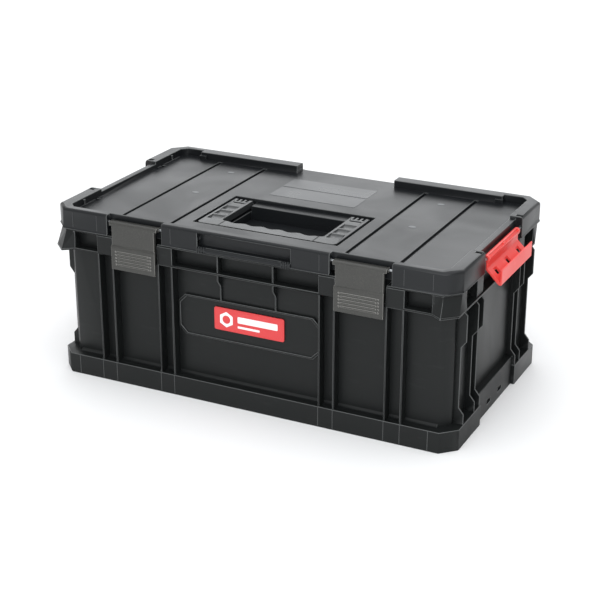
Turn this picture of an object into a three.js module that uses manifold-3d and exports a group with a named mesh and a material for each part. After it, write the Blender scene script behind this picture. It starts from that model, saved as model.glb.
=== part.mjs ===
// Stackable moulded toolbox with a lift-out tray, hinged lid, folding carry handle,
// two front latches and two side clips that lock onto the base of a box stacked on top.
// Millimetres. +X is the user's right, -Y is the front, +Z is up, and the origin is
// the centre of the footprint on the floor.
import * as THREE from "three";
import { mergeVertices } from "three/addons/utils/BufferGeometryUtils.js";
import Module from "manifold-3d";

const wasm = await Module();
wasm.setup();

// ---------------------------------------------------------------- driving dimensions
const WALL = 2.5; // general moulded wall
const RIB = 2; // stiffening ribs and flanges
const GAP = 0.3; // between pieces that touch

// Lid, seen from above an octagon with chamfered corners.
const LID = { x: 261, y: 147, chamfer: 16.5, bottom: 190, panel: 206.5, top: 216 };
const LID_EDGE_RADIUS = 3.5;
const LID_LIP = 0.8; // the skirt's lower edge flares by this much
const PANEL_THICK = 3.5;
// Raised rim round the lid: its inner edge on each side.
const RIM = { x: 244.5, front: -136.3, rear: 129, cornerRear: 137, cornerX: 213 };
const RIM_GAP_X = 68.5; // the rear rim stops this far each side of the middle
const GROOVE = { xs: [-181, -114, 114, 181], width: 4.4, depth: 3.3, front: -134, rear: 126 };

// Box.
const BOX = { x: 250, y: 134, chamfer: 10, step: 12, top: 200 };
const FOOT = { x: 244, front: -134, rear: 128.5, chamfer: 8, floor: 3 };
const BASE = { x: 263, y: 148.5, chamfer: 17.5, top: 26, skirt: 1.9 };
const UPPER_FLANGE = { x: 259.5, y: 145.5, chamfer: 16, bottom: 187.5, top: 189.7 };
const LOWER_FLANGE = { x: 261, y: 147, flareY: 156.5, bottom: 164.5, top: 167 };
// The lower flange's front bumper starts at flareStart; at the rear its sides stop at rearEnd.
const BUMPER_FLARE = { chamfer: 16.5, start: 231, rearEnd: 118 };
const FRONT_RIBS = [96, 114.5, 178, 198];
const POCKET_RIB = 232;
const SIDE_RIBS = [63, 80, 116];
const SIDE_RIB = { outer: 262, inner: 256, lowKink: 38.5, highKink: 127, slope: 7.5 };
const RIB_FRONT = 147; // how far the front ribs reach from the middle

// Front latches.
const LATCH_X = 146;
const LATCH = { width: 58, barrel: 3, axisY: -142.3, axisZ: 206.8, front: -150, bottom: 150.5 };
const LATCH_NOTCH = { halfWidth: 37.4, rear: -138.4, cheek: 2.7 };

// Side clips.
const CLIP = { halfLength: 53, axisX: 258, axisZ: 203, barrel: 4, wall: 2 };
const CLIP_HOOK = { kinkZ: 190, footX: 274.4, footZ: 173.5, lipX: 277.5, lipTop: 192.5 };
const CLIP_NOTCH = { half: 64, inner: 252, ridgeTop: 212.5 };

// Carry handle and the recess it folds into.
const RECESS = { x: 95, front: -97, rear: 11, floor: 194.7 };
const POCKET = { x: 66, front: -94, rear: -4, floor: 184, ledge: 201.8 };
const HANDLE = { x: 91, front: -94.5, gripRear: -76, armInner: 67, top: 206, thick: 8.5 };
const HANDLE_AXIS = { y: 3, z: 199, barrel: 4, pin: 1.5 };

// Rear hinges.
const HINGE = { xs: [-150, 0, 150], y: 152.3, z: 193, barrel: 4.2, lidHalf: 15.5, boxOuter: 28 };

// Lift-out tray.
const TRAY = { x: 236, front: -122, rear: 120, bottom: 108, top: 156, wall: 2, lip: 245 };
const TRAY_ROW_Y = 0; // the grip wall between the two rows
const TRAY_DIVIDERS = [-78, 78];
const GRIP_WALL = 6; // half its thickness
const GRIP = { half: 55, bottom: 144, opening: 122, peg: 3.3, pegHalf: 2, pegBottom: 147 };
const DIVIDER = { thick: 1.6, top: 153, notch: 12, ribOut: 3, ribThick: 1.4 };
const LEDGE = { inner: 241.5, half: 100, bottom: 146, top: 153.7 };

// Badge on the front.
const BADGE = { x: 1.5, halfWidth: 46, bottom: 93, top: 121.5, thick: 1.5 };
const LABEL_PAD = { halfWidth: 93, bottom: 78.5, top: 130, chamfer: 9, face: -136.2 };

const PIN_SIDES = 20;
const PIN_CLEARANCE = 0.1;

// ---------------------------------------------------------------- solids
function solid(geometry) {
  const g = geometry.clone();
  g.deleteAttribute("normal");
  g.deleteAttribute("uv");
  const merged = mergeVertices(g, 1e-3);
  return new wasm.Manifold(
    new wasm.Mesh({
      numProp: 3,
      vertProperties: new Float32Array(merged.attributes.position.array),
      triVerts: new Uint32Array(merged.index.array),
    }),
  );
}

const join = (...parts) => parts.flat(9).reduce((a, b) => a.add(b));
const cut = (base, ...tools) => tools.flat(9).reduce((a, b) => a.subtract(b), base);

// A box between two corners, whichever way round they are given.
function box(x0, x1, y0, y1, z0, z1) {
  const g = new THREE.BoxGeometry(Math.abs(x1 - x0), Math.abs(y1 - y0), Math.abs(z1 - z0));
  g.translate((x0 + x1) / 2, (y0 + y1) / 2, (z0 + z1) / 2);
  return solid(g);
}

function shapeOf(points) {
  return new THREE.Shape(points.map(([a, b]) => new THREE.Vector2(a, b)));
}

function extruded(shape, depth, curveSegments = 12) {
  return new THREE.ExtrudeGeometry(shape, { depth, bevelEnabled: false, curveSegments });
}

// An outline in plan, raised from z0 to z1.
function raised(shape, z0, z1) {
  const g = extruded(shape, z1 - z0);
  g.translate(0, 0, z0);
  return solid(g);
}

// A side profile of (y, z) points, swept along X from x0 to x1.
function sweptX(points, x0, x1) {
  const [low, high] = [Math.min(x0, x1), Math.max(x0, x1)];
  const g = extruded(shapeOf(points), high - low);
  const axes = new THREE.Matrix4().makeBasis(
    new THREE.Vector3(0, 1, 0),
    new THREE.Vector3(0, 0, 1),
    new THREE.Vector3(1, 0, 0),
  );
  g.applyMatrix4(axes);
  g.translate(low, 0, 0);
  return solid(g);
}

// An end profile of (x, z) points, swept along Y from y0 to y1.
function sweptY(points, y0, y1) {
  const [low, high] = [Math.min(y0, y1), Math.max(y0, y1)];
  const g = extruded(shapeOf(points), high - low);
  const axes = new THREE.Matrix4().makeBasis(
    new THREE.Vector3(1, 0, 0),
    new THREE.Vector3(0, 0, 1),
    new THREE.Vector3(0, -1, 0),
  );
  g.applyMatrix4(axes);
  g.translate(0, high, 0);
  return solid(g);
}

function rodX(radius, x0, x1, y, z, sides = PIN_SIDES) {
  const g = new THREE.CylinderGeometry(radius, radius, Math.abs(x1 - x0), sides);
  g.rotateZ(Math.PI / 2);
  g.translate((x0 + x1) / 2, y, z);
  return solid(g);
}

function rodY(radius, y0, y1, x, z, sides = PIN_SIDES) {
  const g = new THREE.CylinderGeometry(radius, radius, Math.abs(y1 - y0), sides);
  g.translate(x, (y0 + y1) / 2, z);
  return solid(g);
}

// The eight corners of a rectangle with chamfered corners, anticlockwise.
function octagon(x0, x1, y0, y1, c) {
  return [
    [x1, y0 + c],
    [x1, y1 - c],
    [x1 - c, y1],
    [x0 + c, y1],
    [x0, y1 - c],
    [x0, y0 + c],
    [x0 + c, y0],
    [x1 - c, y0],
  ];
}

const plan = (x, y, c) => shapeOf(octagon(-x, x, -y, y, c));

// A closed body through outlines of equal length, each at its own height.
function lofted(sections) {
  const count = sections[0].points.length;
  const positions = sections.flatMap(({ points, z }) => points.flatMap(([x, y]) => [x, y, z]));
  const index = [];
  for (let s = 0; s < sections.length - 1; s++) {
    for (let i = 0; i < count; i++) {
      const a = s * count + i;
      const b = s * count + ((i + 1) % count);
      index.push(a, b, b + count, a, b + count, a + count);
    }
  }
  const last = (sections.length - 1) * count;
  for (let i = 1; i < count - 1; i++) {
    index.push(0, i + 1, i, last, last + i, last + i + 1);
  }
  const g = new THREE.BufferGeometry();
  g.setAttribute("position", new THREE.Float32BufferAttribute(positions, 3));
  g.setIndex(index);
  return solid(g);
}

// ---------------------------------------------------------------- materials
const plastic = (color, roughness) =>
  new THREE.MeshStandardMaterial({ color, roughness, metalness: 0 });
const blackPlastic = plastic("#2f3132", 0.5);
const lidPlastic = plastic("#3a3c3e", 0.42);
const latchPlastic = plastic("#5b5a56", 0.45);
const redPlastic = plastic("#e0464b", 0.45);
const trayPlastic = plastic("#35373a", 0.5);
const steel = new THREE.MeshStandardMaterial({ color: "#b9bcc0", roughness: 0.3, metalness: 1 });

const toolbox = new THREE.Group();

function add(name, body, material) {
  const m = body.getMesh();
  const g = new THREE.BufferGeometry();
  g.setAttribute("position", new THREE.Float32BufferAttribute(m.vertProperties, 3));
  g.setIndex([...m.triVerts]);
  g.computeVertexNormals();
  const mesh = new THREE.Mesh(g, material);
  mesh.name = name;
  toolbox.add(mesh);
}

// ---------------------------------------------------------------- box
// Flange round the box. It flares into a bumper at each front corner, and is cut back at
// the rear ones, where the hinges need room.
function lowerFlangeOutline() {
  const { x, y, flareY } = LOWER_FLANGE;
  const { chamfer, start, rearEnd } = BUMPER_FLARE;
  const side = [
    [start, -y],
    [x - chamfer, -flareY],
    [x, chamfer - 1 - flareY],
    [x, rearEnd],
    [x - 22, rearEnd + 22],
    [start - 4, y],
  ];
  const mirrored = side.map(([px, py]) => [-px, py]).reverse();
  return shapeOf([...side, ...mirrored]);
}

function boxWalls() {
  return join(
    raised(plan(BOX.x, BOX.y, BOX.chamfer), BOX.step, BOX.top),
    raised(shapeOf(octagon(-FOOT.x, FOOT.x, FOOT.front, FOOT.rear, FOOT.chamfer)), 0, BOX.step),
  );
}

function boxCavity() {
  const foot = octagon(
    WALL - FOOT.x,
    FOOT.x - WALL,
    FOOT.front + WALL,
    FOOT.rear - WALL,
    FOOT.chamfer - 1,
  );
  return join(
    raised(plan(BOX.x - WALL, BOX.y - WALL, BOX.chamfer - 1), BOX.step + WALL, BOX.top + 1),
    raised(shapeOf(foot), FOOT.floor, BOX.step + WALL + 0.1),
  );
}

// The base skirt and the shelf that joins it to the wall. A lower box's lid rim fits
// up inside the skirt.
function baseSkirt() {
  const outer = raised(plan(BASE.x, BASE.y, BASE.chamfer), 0, BASE.top);
  const inner = plan(BASE.x - BASE.skirt, BASE.y - BASE.skirt, BASE.chamfer - 0.8);
  return cut(outer, raised(inner, -1, BASE.top - WALL));
}

// On each side the skirt is interrupted by a catch for the clip of a box below.
const CATCH = { half: 61, face: 258.5, top: 37, wall: 2.2, slotY: 19, slotHalf: 6.5 };

function catchCuts(s) {
  return [
    box(s * CATCH.face, s * 265, -CATCH.half, CATCH.half, -1, BASE.top + 1),
    box(s * BOX.x, s * (CATCH.face - CATCH.wall), -CATCH.half, CATCH.half, 22, BASE.top + 1),
  ];
}

function catchWalls(s) {
  const { half, face, top, wall } = CATCH;
  const ends = [-1, 1].map((e) => [
    box(s * (BOX.x - 1), s * BASE.x, e * half, e * (half + 2), BOX.step, BASE.top),
    box(s * (BASE.x - 10.5), s * BASE.x, e * half, e * (half + 2), 0, BOX.step + 1),
    box(s * (BOX.x - 1), s * face, e * half, e * (half + 2), BASE.top - 1, top),
  ]);
  const face3 = box(s * (face - wall), s * face, -half - 1, half + 1, 0, top);
  const cap = box(s * (BOX.x - 1), s * face, -half - 1, half + 1, top - wall, top);
  return join(face3, cap, ends);
}

function catchSlots(s) {
  const { face, slotY, slotHalf } = CATCH;
  return [-slotY, slotY].map((y) =>
    box(s * (face - 4), s * (face + 1), y - slotHalf, y + slotHalf, 9.5, 14.5),
  );
}

function frontRibs() {
  const { bottom } = UPPER_FLANGE;
  const ribs = [];
  for (const side of [-1, 1]) {
    for (const x of FRONT_RIBS.flatMap((r) => [-r, r])) {
      const [near, far] = [side * (BOX.y - 1), side * RIB_FRONT];
      ribs.push(box(x - RIB / 2, x + RIB / 2, near, far, BASE.top - 1, bottom + 0.5));
    }
    for (const x of [-POCKET_RIB, POCKET_RIB]) {
      const [near, far] = [side * (BOX.y - 1), side * (RIB_FRONT - 1)];
      ribs.push(box(x - RIB / 2, x + RIB / 2, near, far, LOWER_FLANGE.top - 1, bottom + 0.5));
    }
  }
  return ribs;
}

// Flush panels that close the narrow bays between the flanges.
function bandPanels() {
  const { top } = LOWER_FLANGE;
  const { bottom } = UPPER_FLANGE;
  const panels = [];
  for (const sx of [-1, 1]) {
    for (const [a, b] of [[96, 114.5], [178, 198]]) {
      for (const sy of [-1, 1]) {
        const [near, far] = [sy * (RIB_FRONT - RIB), sy * RIB_FRONT];
        panels.push(box(sx * a, sx * b, near, far, top - 1, bottom + 0.5));
      }
    }
    for (const sy of [-1, 1]) {
      panels.push(box(sx * 257.3, sx * 259.3, sy * 63, sy * 80, top - 1, bottom + 0.5));
    }
  }
  return panels;
}

// Each corner of the band is closed by a bumper that flares from the upper flange down to
// the lower one. Outlines run from the end wall round to the side, for the +X corner.
const BUMPER = {
  inner: [231, 117],
  frontLow: [[231, 147], [244.5, 156.5], [261, 141], [261, 117]],
  rearLow: [[231, 145], [239, 140], [261, 118], [261, 117]],
  high: [[231, 145.3], [243.3, 145.3], [259.3, 129.3], [259.3, 117]],
  frontLowCore: [[233, 145], [244.2, 153.8], [259, 140], [259, 119]],
  rearLowCore: [[233, 142.6], [238.2, 138], [259, 117.4], [259, 116.5]],
  highCore: [[233, 143.2], [242.4, 143.2], [257.2, 128.4], [257.2, 119]],
};

function cornerLoft(sx, sy, low, high, inner, z0, z1) {
  const place = (points) => {
    const moved = [...points, inner].map(([x, y]) => [sx * x, sy * y]);
    return sx * sy > 0 ? moved.reverse() : moved;
  };
  return lofted([
    { points: place(low), z: z0 },
    { points: place(high), z: z1 },
  ]);
}

const corners = [-1, 1].flatMap((sx) => [-1, 1].map((sy) => [sx, sy]));

function bumpers() {
  const { frontLow, rearLow, high, inner } = BUMPER;
  return corners.map(([sx, sy]) =>
    cornerLoft(sx, sy, sy < 0 ? frontLow : rearLow, high, inner,
      LOWER_FLANGE.bottom + 0.5, UPPER_FLANGE.bottom + 0.5),
  );
}

function bumperCores() {
  const { frontLowCore, rearLowCore, highCore } = BUMPER;
  const wall = raised(plan(BOX.x - 0.2, BOX.y - 0.2, BOX.chamfer), 160, 190);
  return corners.map(([sx, sy]) =>
    cornerLoft(sx, sy, sy < 0 ? frontLowCore : rearLowCore, highCore, [233, 119],
      LOWER_FLANGE.bottom - 0.5, UPPER_FLANGE.bottom).subtract(wall),
  );
}

// The bays behind the flush panels are cored out from below.
function bandCores() {
  const { bottom, top } = LOWER_FLANGE;
  const cores = [];
  for (const sx of [-1, 1]) {
    for (const sy of [-1, 1]) {
      for (const [a, b] of [[96, 114.5], [178, 198]]) {
        cores.push(box(sx * (a + 1), sx * (b - 1), sy * BOX.y, sy * (RIB_FRONT - RIB), bottom - 1, top));
      }
      cores.push(box(sx * BOX.x, sx * 257.3, sy * 64, sy * 79, bottom - 1, top));
    }
  }
  return cores;
}

// Side ribs step in over the middle of the wall.
function sideRibs() {
  const { outer, inner, lowKink, highKink, slope } = SIDE_RIB;
  const band = UPPER_FLANGE.x - 0.2;
  const profile = (s) =>
    [
      [BOX.x - 1, BASE.top - 1],
      [outer, BASE.top - 1],
      [outer, lowKink],
      [inner, lowKink + slope],
      [inner, highKink - slope],
      [outer, highKink],
      [outer, LOWER_FLANGE.bottom - 6],
      [256, LOWER_FLANGE.bottom + 1],
      [band, LOWER_FLANGE.top],
      [band, UPPER_FLANGE.bottom + 0.5],
      [BOX.x - 1, UPPER_FLANGE.bottom + 0.5],
    ].map(([x, z]) => [s * x, z]);
  return [-1, 1].flatMap((s) =>
    SIDE_RIBS.flatMap((r) => [-r, r]).map((y) => sweptY(profile(s), y - RIB / 2, y + RIB / 2)),
  );
}

// Two gussets above the label pad taper back into the wall.
function midGussets() {
  const face = LABEL_PAD.face - 1;
  const profile = [
    [1 - BOX.y, UPPER_FLANGE.bottom + 0.5],
    [-144, UPPER_FLANGE.bottom + 0.5],
    [-144, 156],
    [face, 147],
    [face, LABEL_PAD.top - 1],
    [1 - BOX.y, LABEL_PAD.top - 1],
  ];
  return [-36, 36].map((x) => sweptX(profile, x - RIB / 2, x + RIB / 2));
}

function labelPad() {
  const { halfWidth, bottom, top, chamfer, face } = LABEL_PAD;
  const border = 2.4;
  const outline = (inset) =>
    octagon(inset - halfWidth, halfWidth - inset, bottom + inset, top - inset, chamfer);
  return join(
    sweptY(outline(0), face, 1 - BOX.y),
    cut(sweptY(outline(0), face - 1.4, face + 1), sweptY(outline(border), face - 2, face + 2)),
  );
}

// Where a latch lies, both flanges are cut away and a strike bar catches its hook.
function latchSlot(s) {
  const [a, b] = [s * (FRONT_RIBS[1] + 1), s * (FRONT_RIBS[2] - 1)];
  return box(a, b, -160, -BOX.y, LOWER_FLANGE.bottom - 1, UPPER_FLANGE.top + 1);
}

function latchStrike(s) {
  const [a, b] = [s * (FRONT_RIBS[1] + 0.5), s * (FRONT_RIBS[2] - 0.5)];
  return box(a, b, -141, 1 - BOX.y, 160.5, 166);
}

function clipSlot(s) {
  const { bottom, top } = UPPER_FLANGE;
  return box(s * BOX.x, s * 262, -62, 62, bottom - 1, top + 1);
}

function boxHingeKnuckles() {
  const { y, z, barrel, lidHalf, boxOuter } = HINGE;
  const bracket = [
    [BOX.y - 1, 170],
    [LOWER_FLANGE.y, 170],
    [y + barrel, 181],
    [y + barrel, z],
    [y - barrel, z],
    [y - barrel, UPPER_FLANGE.top],
    [BOX.y - 1, UPPER_FLANGE.bottom + 1],
  ];
  return HINGE.xs.flatMap((x) =>
    [-1, 1].map((s) => {
      const [a, b] = [x + s * (lidHalf + 0.5), x + s * boxOuter];
      return join(sweptX(bracket, a, b), rodX(barrel, a, b, y, z));
    }),
  );
}

function trayLedges() {
  return [-1, 1].map((s) =>
    sweptY(
      [
        [s * (BOX.x - 1), LEDGE.bottom - 6],
        [s * (BOX.x - 1), LEDGE.top],
        [s * LEDGE.inner, LEDGE.top],
        [s * LEDGE.inner, LEDGE.top - 2],
      ],
      -LEDGE.half,
      LEDGE.half,
    ),
  );
}

function makeBox() {
  const { x, y, chamfer } = UPPER_FLANGE;
  const sides = [-1, 1];
  const flanges = [
    raised(plan(x, y, chamfer), UPPER_FLANGE.bottom, UPPER_FLANGE.top),
    raised(lowerFlangeOutline(), LOWER_FLANGE.bottom, LOWER_FLANGE.top),
  ];
  const skirt = cut(baseSkirt(), sides.map(catchCuts));
  const outside = cut(
    join(boxWalls(), flanges, skirt, frontRibs(), bandPanels(), bumpers(), sideRibs()),
    sides.map(latchSlot),
    sides.map(clipSlot),
    bandCores(),
    bumperCores(),
  );
  const detailed = join(
    outside,
    midGussets(),
    labelPad(),
    sides.map(latchStrike),
    sides.map(catchWalls),
    boxHingeKnuckles(),
  );
  const hollow = cut(detailed, boxCavity());
  const pinHoles = HINGE.xs.map((hx) =>
    rodX(2 + PIN_CLEARANCE, hx - 40, hx + 40, HINGE.y, HINGE.z),
  );
  return cut(join(hollow, trayLedges()), sides.map(catchSlots), pinHoles);
}

function makeBadge() {
  const { x, halfWidth, bottom, top, thick } = BADGE;
  const r = 1.5;
  const back = LABEL_PAD.face - GAP;
  return sweptY(octagon(x - halfWidth, x + halfWidth, bottom, top, r), back - thick, back);
}

// ---------------------------------------------------------------- lid
function lidBlank() {
  const { x, y, chamfer, bottom, top } = LID;
  const outline = (grow) => octagon(-x - grow, x + grow, -y - grow, y + grow, chamfer);
  const sections = [
    { points: outline(LID_LIP), z: bottom },
    { points: outline(LID_LIP), z: bottom + 1.2 },
    { points: outline(0), z: bottom + 3 },
  ];
  const steps = 4;
  for (let i = 0; i <= steps; i++) {
    const a = (i / steps) * (Math.PI / 2);
    const inset = LID_EDGE_RADIUS * (1 - Math.cos(a));
    const z = top - LID_EDGE_RADIUS * (1 - Math.sin(a));
    sections.push({ points: outline(-inset), z });
  }
  return lofted(sections);
}

// Everything above the panel and inside the raised rim.
function lidTopCuts() {
  const { x, front, rear, cornerRear, cornerX } = RIM;
  const { panel, top } = LID;
  return [
    raised(shapeOf(octagon(-x, x, front, rear + 8, 8)).clone(), panel, top + 1).subtract(
      box(-cornerX, cornerX, rear, 150, panel - 1, top + 2),
    ),
    box(-RIM_GAP_X, RIM_GAP_X, rear - 5, 150, panel, top + 1),
    raised(shapeOf([[x, 100], [x, cornerRear - 8], [x - 8, cornerRear], [cornerX, cornerRear],
      [cornerX, 100]]), panel, top + 1),
    raised(shapeOf([[-x, 100], [-cornerX, 100], [-cornerX, cornerRear], [8 - x, cornerRear],
      [-x, cornerRear - 8]]), panel, top + 1),
  ];
}

function panelGrooves() {
  const { xs, width, depth, front, rear } = GROOVE;
  return xs.map((x) =>
    box(x - width / 2, x + width / 2, front, rear, LID.panel - depth, LID.panel + 1),
  );
}

// The hollow underside: below the panel, and up inside the rim.
function lidUnderside() {
  const inner = plan(LID.x - WALL, LID.y - WALL, LID.chamfer - 1);
  const under = LID.panel - PANEL_THICK;
  const below = raised(inner, LID.bottom - 1, under);
  const channel = raised(inner, under - 0.1, LID.top - WALL);
  const keep = [
    raised(
      shapeOf(octagon(-RIM.x - WALL, RIM.x + WALL, RIM.front - WALL, RIM.rear + 8 + WALL, 8)),
      under - 1,
      LID.top,
    ),
    box(-RIM_GAP_X - WALL, RIM_GAP_X + WALL, 100, 150, under - 1, LID.top),
    box(-62.5, 62.5, -150, -130, under - 1, LID.top),
    [-1, 1].flatMap((s) => [
      box(s * (LATCH_X - LATCH_NOTCH.halfWidth - 2.7), s * (LATCH_X + LATCH_NOTCH.halfWidth + 2.7),
        -150, -130, under - 1, LID.top),
      box(s * 240, s * 262, -CLIP_NOTCH.half - 2.7, CLIP_NOTCH.half + 2.7, under - 1, LID.top),
    ]),
  ].flat();
  const rearChannel = [-1, 1].map((s) =>
    box(s * (RIM_GAP_X + WALL), s * (RIM.cornerX - WALL), RIM.rear + WALL, RIM.rear + 12,
      under - 0.1, LID.top - WALL),
  );
  return join(below, cut(channel, keep), rearChannel);
}

function latchNotchWalls(s) {
  const { halfWidth, rear, cheek } = LATCH_NOTCH;
  const [a, b] = [LATCH_X - halfWidth, LATCH_X + halfWidth];
  return [
    box(s * (a - cheek), s * (b + cheek), rear, RIM.front, 194, LID.panel),
    box(s * (a - cheek), s * a, -LID.y + 1, RIM.front, LID.bottom, LID.panel),
    box(s * b, s * (b + cheek), -LID.y + 1, RIM.front, LID.bottom, LID.panel),
  ];
}

function clipNotchWalls(s) {
  const { half, inner } = CLIP_NOTCH;
  return [
    box(s * (BOX.x + 0.5), s * inner, -half - 2.7, half + 2.7, LID.bottom, LID.panel),
    [-1, 1].map((e) =>
      box(s * (BOX.x + 0.5), s * (LID.x - 1), e * half, e * (half + 2.7), LID.bottom, LID.panel),
    ),
  ].flat();
}

function notchCuts(s) {
  const { halfWidth, rear } = LATCH_NOTCH;
  const { half, inner, ridgeTop } = CLIP_NOTCH;
  return [
    box(s * (LATCH_X - halfWidth), s * (LATCH_X + halfWidth), -150, rear, 188, 220),
    box(s * inner, s * 265, -half, half, 188, 220),
    box(s * 240, s * (inner + 1), -half, half, ridgeTop, 220),
  ];
}

// Strips under the panel back up its grooves.
function grooveBacks() {
  const { xs, width, depth, front, rear } = GROOVE;
  const under = LID.panel - PANEL_THICK;
  return xs.map((x) =>
    box(x - width / 2 - 2, x + width / 2 + 2, front, rear, LID.panel - depth - 2, under + 0.2),
  );
}

// Moulding slots at the foot of each side rim and in its ends.
function rimSlots() {
  const ends = [-1, 1].flatMap((s) => [-1, 1].map((e) => [s, e]));
  return ends.flatMap(([s, e]) => [
    box(s * 240, s * 244.5, e * 75, e * 81, LID.panel - 2.8, LID.panel + 1.5),
    box(s * 251, s * 258.6, e * 67, e * 72.5, LID.top - 5, LID.top + 1),
  ]);
}

// The finger window in the middle of the front skirt, with its sill.
function frontWindow() {
  const sill = box(-62.5, 62.5, -LID.y + 1, -136.5, LID.bottom, 196.5);
  const back = box(-62.5, 62.5, -138.8, -136.5, LID.bottom, LID.panel);
  return { add: [sill, back], cut: box(-60, 60, -150, -138.8, 196.5, 212.5) };
}

function recessBlocks() {
  const { x, front, rear, floor } = RECESS;
  return [
    box(-x - WALL, x + WALL, front - WALL, rear + WALL, floor - WALL, LID.panel),
    box(-POCKET.x - WALL, POCKET.x + WALL, POCKET.front - WALL, POCKET.rear + WALL,
      POCKET.floor - WALL, floor),
  ];
}

function recessCuts() {
  const { x, front, rear, floor } = RECESS;
  return [
    box(-x, x, front, rear, floor, LID.top),
    box(-POCKET.x, POCKET.x, POCKET.front, POCKET.rear, POCKET.floor, floor + 1),
  ];
}

// The ledge behind the pocket carries the inner ends of the handle's pins.
function handleLedge() {
  const { rear, ledge } = POCKET;
  return box(-65.5, 65.5, rear, RECESS.rear + 1, RECESS.floor - 1, ledge);
}

function lidHingeKnuckles() {
  const { y, z, barrel, lidHalf } = HINGE;
  const web = [
    [LID.y - 1, LID.bottom + 0.5],
    [y, z - barrel],
    [y, z + barrel],
    [LID.y - 1, 206],
  ];
  return HINGE.xs.map((x) =>
    join(sweptX(web, x - lidHalf, x + lidHalf), rodX(barrel, x - lidHalf, x + lidHalf, y, z)),
  );
}

function rimButtons() {
  // Small locating ribs on the inside of the side rims.
  return [-1, 1].flatMap((s) =>
    [-104, 104].map((y) => box(s * (RIM.x - 2), s * (RIM.x + 1), y - 1.5, y + 1.5, 206, 214)),
  );
}

function makeLid() {
  const window = frontWindow();
  const sides = [-1, 1];
  const shell = cut(lidBlank(), lidUnderside(), lidTopCuts());
  const walled = join(
    shell,
    sides.map(latchNotchWalls),
    sides.map(clipNotchWalls),
    window.add,
    grooveBacks(),
    recessBlocks(),
  );
  const opened = cut(walled, sides.map(notchCuts), window.cut, recessCuts(), panelGrooves());
  const finished = join(opened, handleLedge(), lidHingeKnuckles(), rimButtons());
  const { halfWidth, cheek } = LATCH_NOTCH;
  const latchHoles = sides.map((s) =>
    rodX(1.5 + PIN_CLEARANCE, s * LATCH_X - halfWidth - cheek + 0.7,
      s * LATCH_X + halfWidth + cheek - 0.7, LATCH.axisY, LATCH.axisZ),
  );
  const clipHoles = sides.map((s) =>
    rodY(1.5 + PIN_CLEARANCE, -CLIP_NOTCH.half - 2, CLIP_NOTCH.half + 2, s * CLIP.axisX, CLIP.axisZ),
  );
  const hingeHoles = HINGE.xs.map((x) => rodX(2 + PIN_CLEARANCE, x - 40, x + 40, HINGE.y, HINGE.z));
  const handleHoles = sides.map((s) =>
    rodX(HANDLE_AXIS.pin + PIN_CLEARANCE, s * 57, s * 96.8, HANDLE_AXIS.y, HANDLE_AXIS.z),
  );
  return cut(finished, latchHoles, clipHoles, hingeHoles, handleHoles, rimSlots());
}

// ---------------------------------------------------------------- handle
// Plan of the folded handle: a U whose grip has four finger waves on its inner edge.
function handleOutline() {
  const { x, front, gripRear, armInner } = HANDLE;
  const rear = HANDLE_AXIS.y;
  const shape = new THREE.Shape();
  const corner = 4;
  shape.moveTo(x, rear);
  shape.lineTo(armInner, rear);
  shape.lineTo(armInner, gripRear);
  const waves = 4;
  const span = (2 * (armInner - 12)) / waves;
  let wx = armInner - 12;
  shape.lineTo(wx, gripRear);
  for (let i = 0; i < waves; i++) {
    shape.quadraticCurveTo(wx - span / 2, gripRear - 5, wx - span, gripRear);
    wx -= span;
  }
  shape.lineTo(-armInner, gripRear);
  shape.lineTo(-armInner, rear);
  shape.lineTo(-x, rear);
  shape.lineTo(-x, front + corner);
  shape.quadraticCurveTo(-x, front, corner - x, front);
  shape.lineTo(x - corner, front);
  shape.quadraticCurveTo(x, front, x, front + corner);
  shape.closePath();
  return shape;
}

function makeHandle() {
  const { x, armInner, top, thick } = HANDLE;
  const { y, z, barrel } = HANDLE_AXIS;
  const g = extruded(handleOutline(), thick, 5);
  g.translate(0, 0, top - thick);
  const sides = [-1, 1];
  const barrels = sides.map((s) => rodX(barrel, s * (armInner + 0.5), s * x, y, z));
  // Three slots comb the root of each arm into four knuckles, and scoops run along it.
  const slots = sides.flatMap((s) =>
    [73, 79, 85].map((sx) => box(s * (sx - 1.5), s * (sx + 1.5), y - 8, y + 6, 190, 210)),
  );
  const scoops = sides.flatMap((s) =>
    [-68, -50, -32].map((sy) => box(s * (armInner + 4), s * (x - 4), sy - 7, sy + 7, 205.2, 210)),
  );
  const bore = HANDLE_AXIS.pin + PIN_CLEARANCE;
  const pinHoles = sides.map((s) => rodX(bore, s * 60, s * 96, y, z));
  const shaft = cut(join(solid(g), barrels), slots, scoops, pinHoles);
  return shaft;
}

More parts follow.
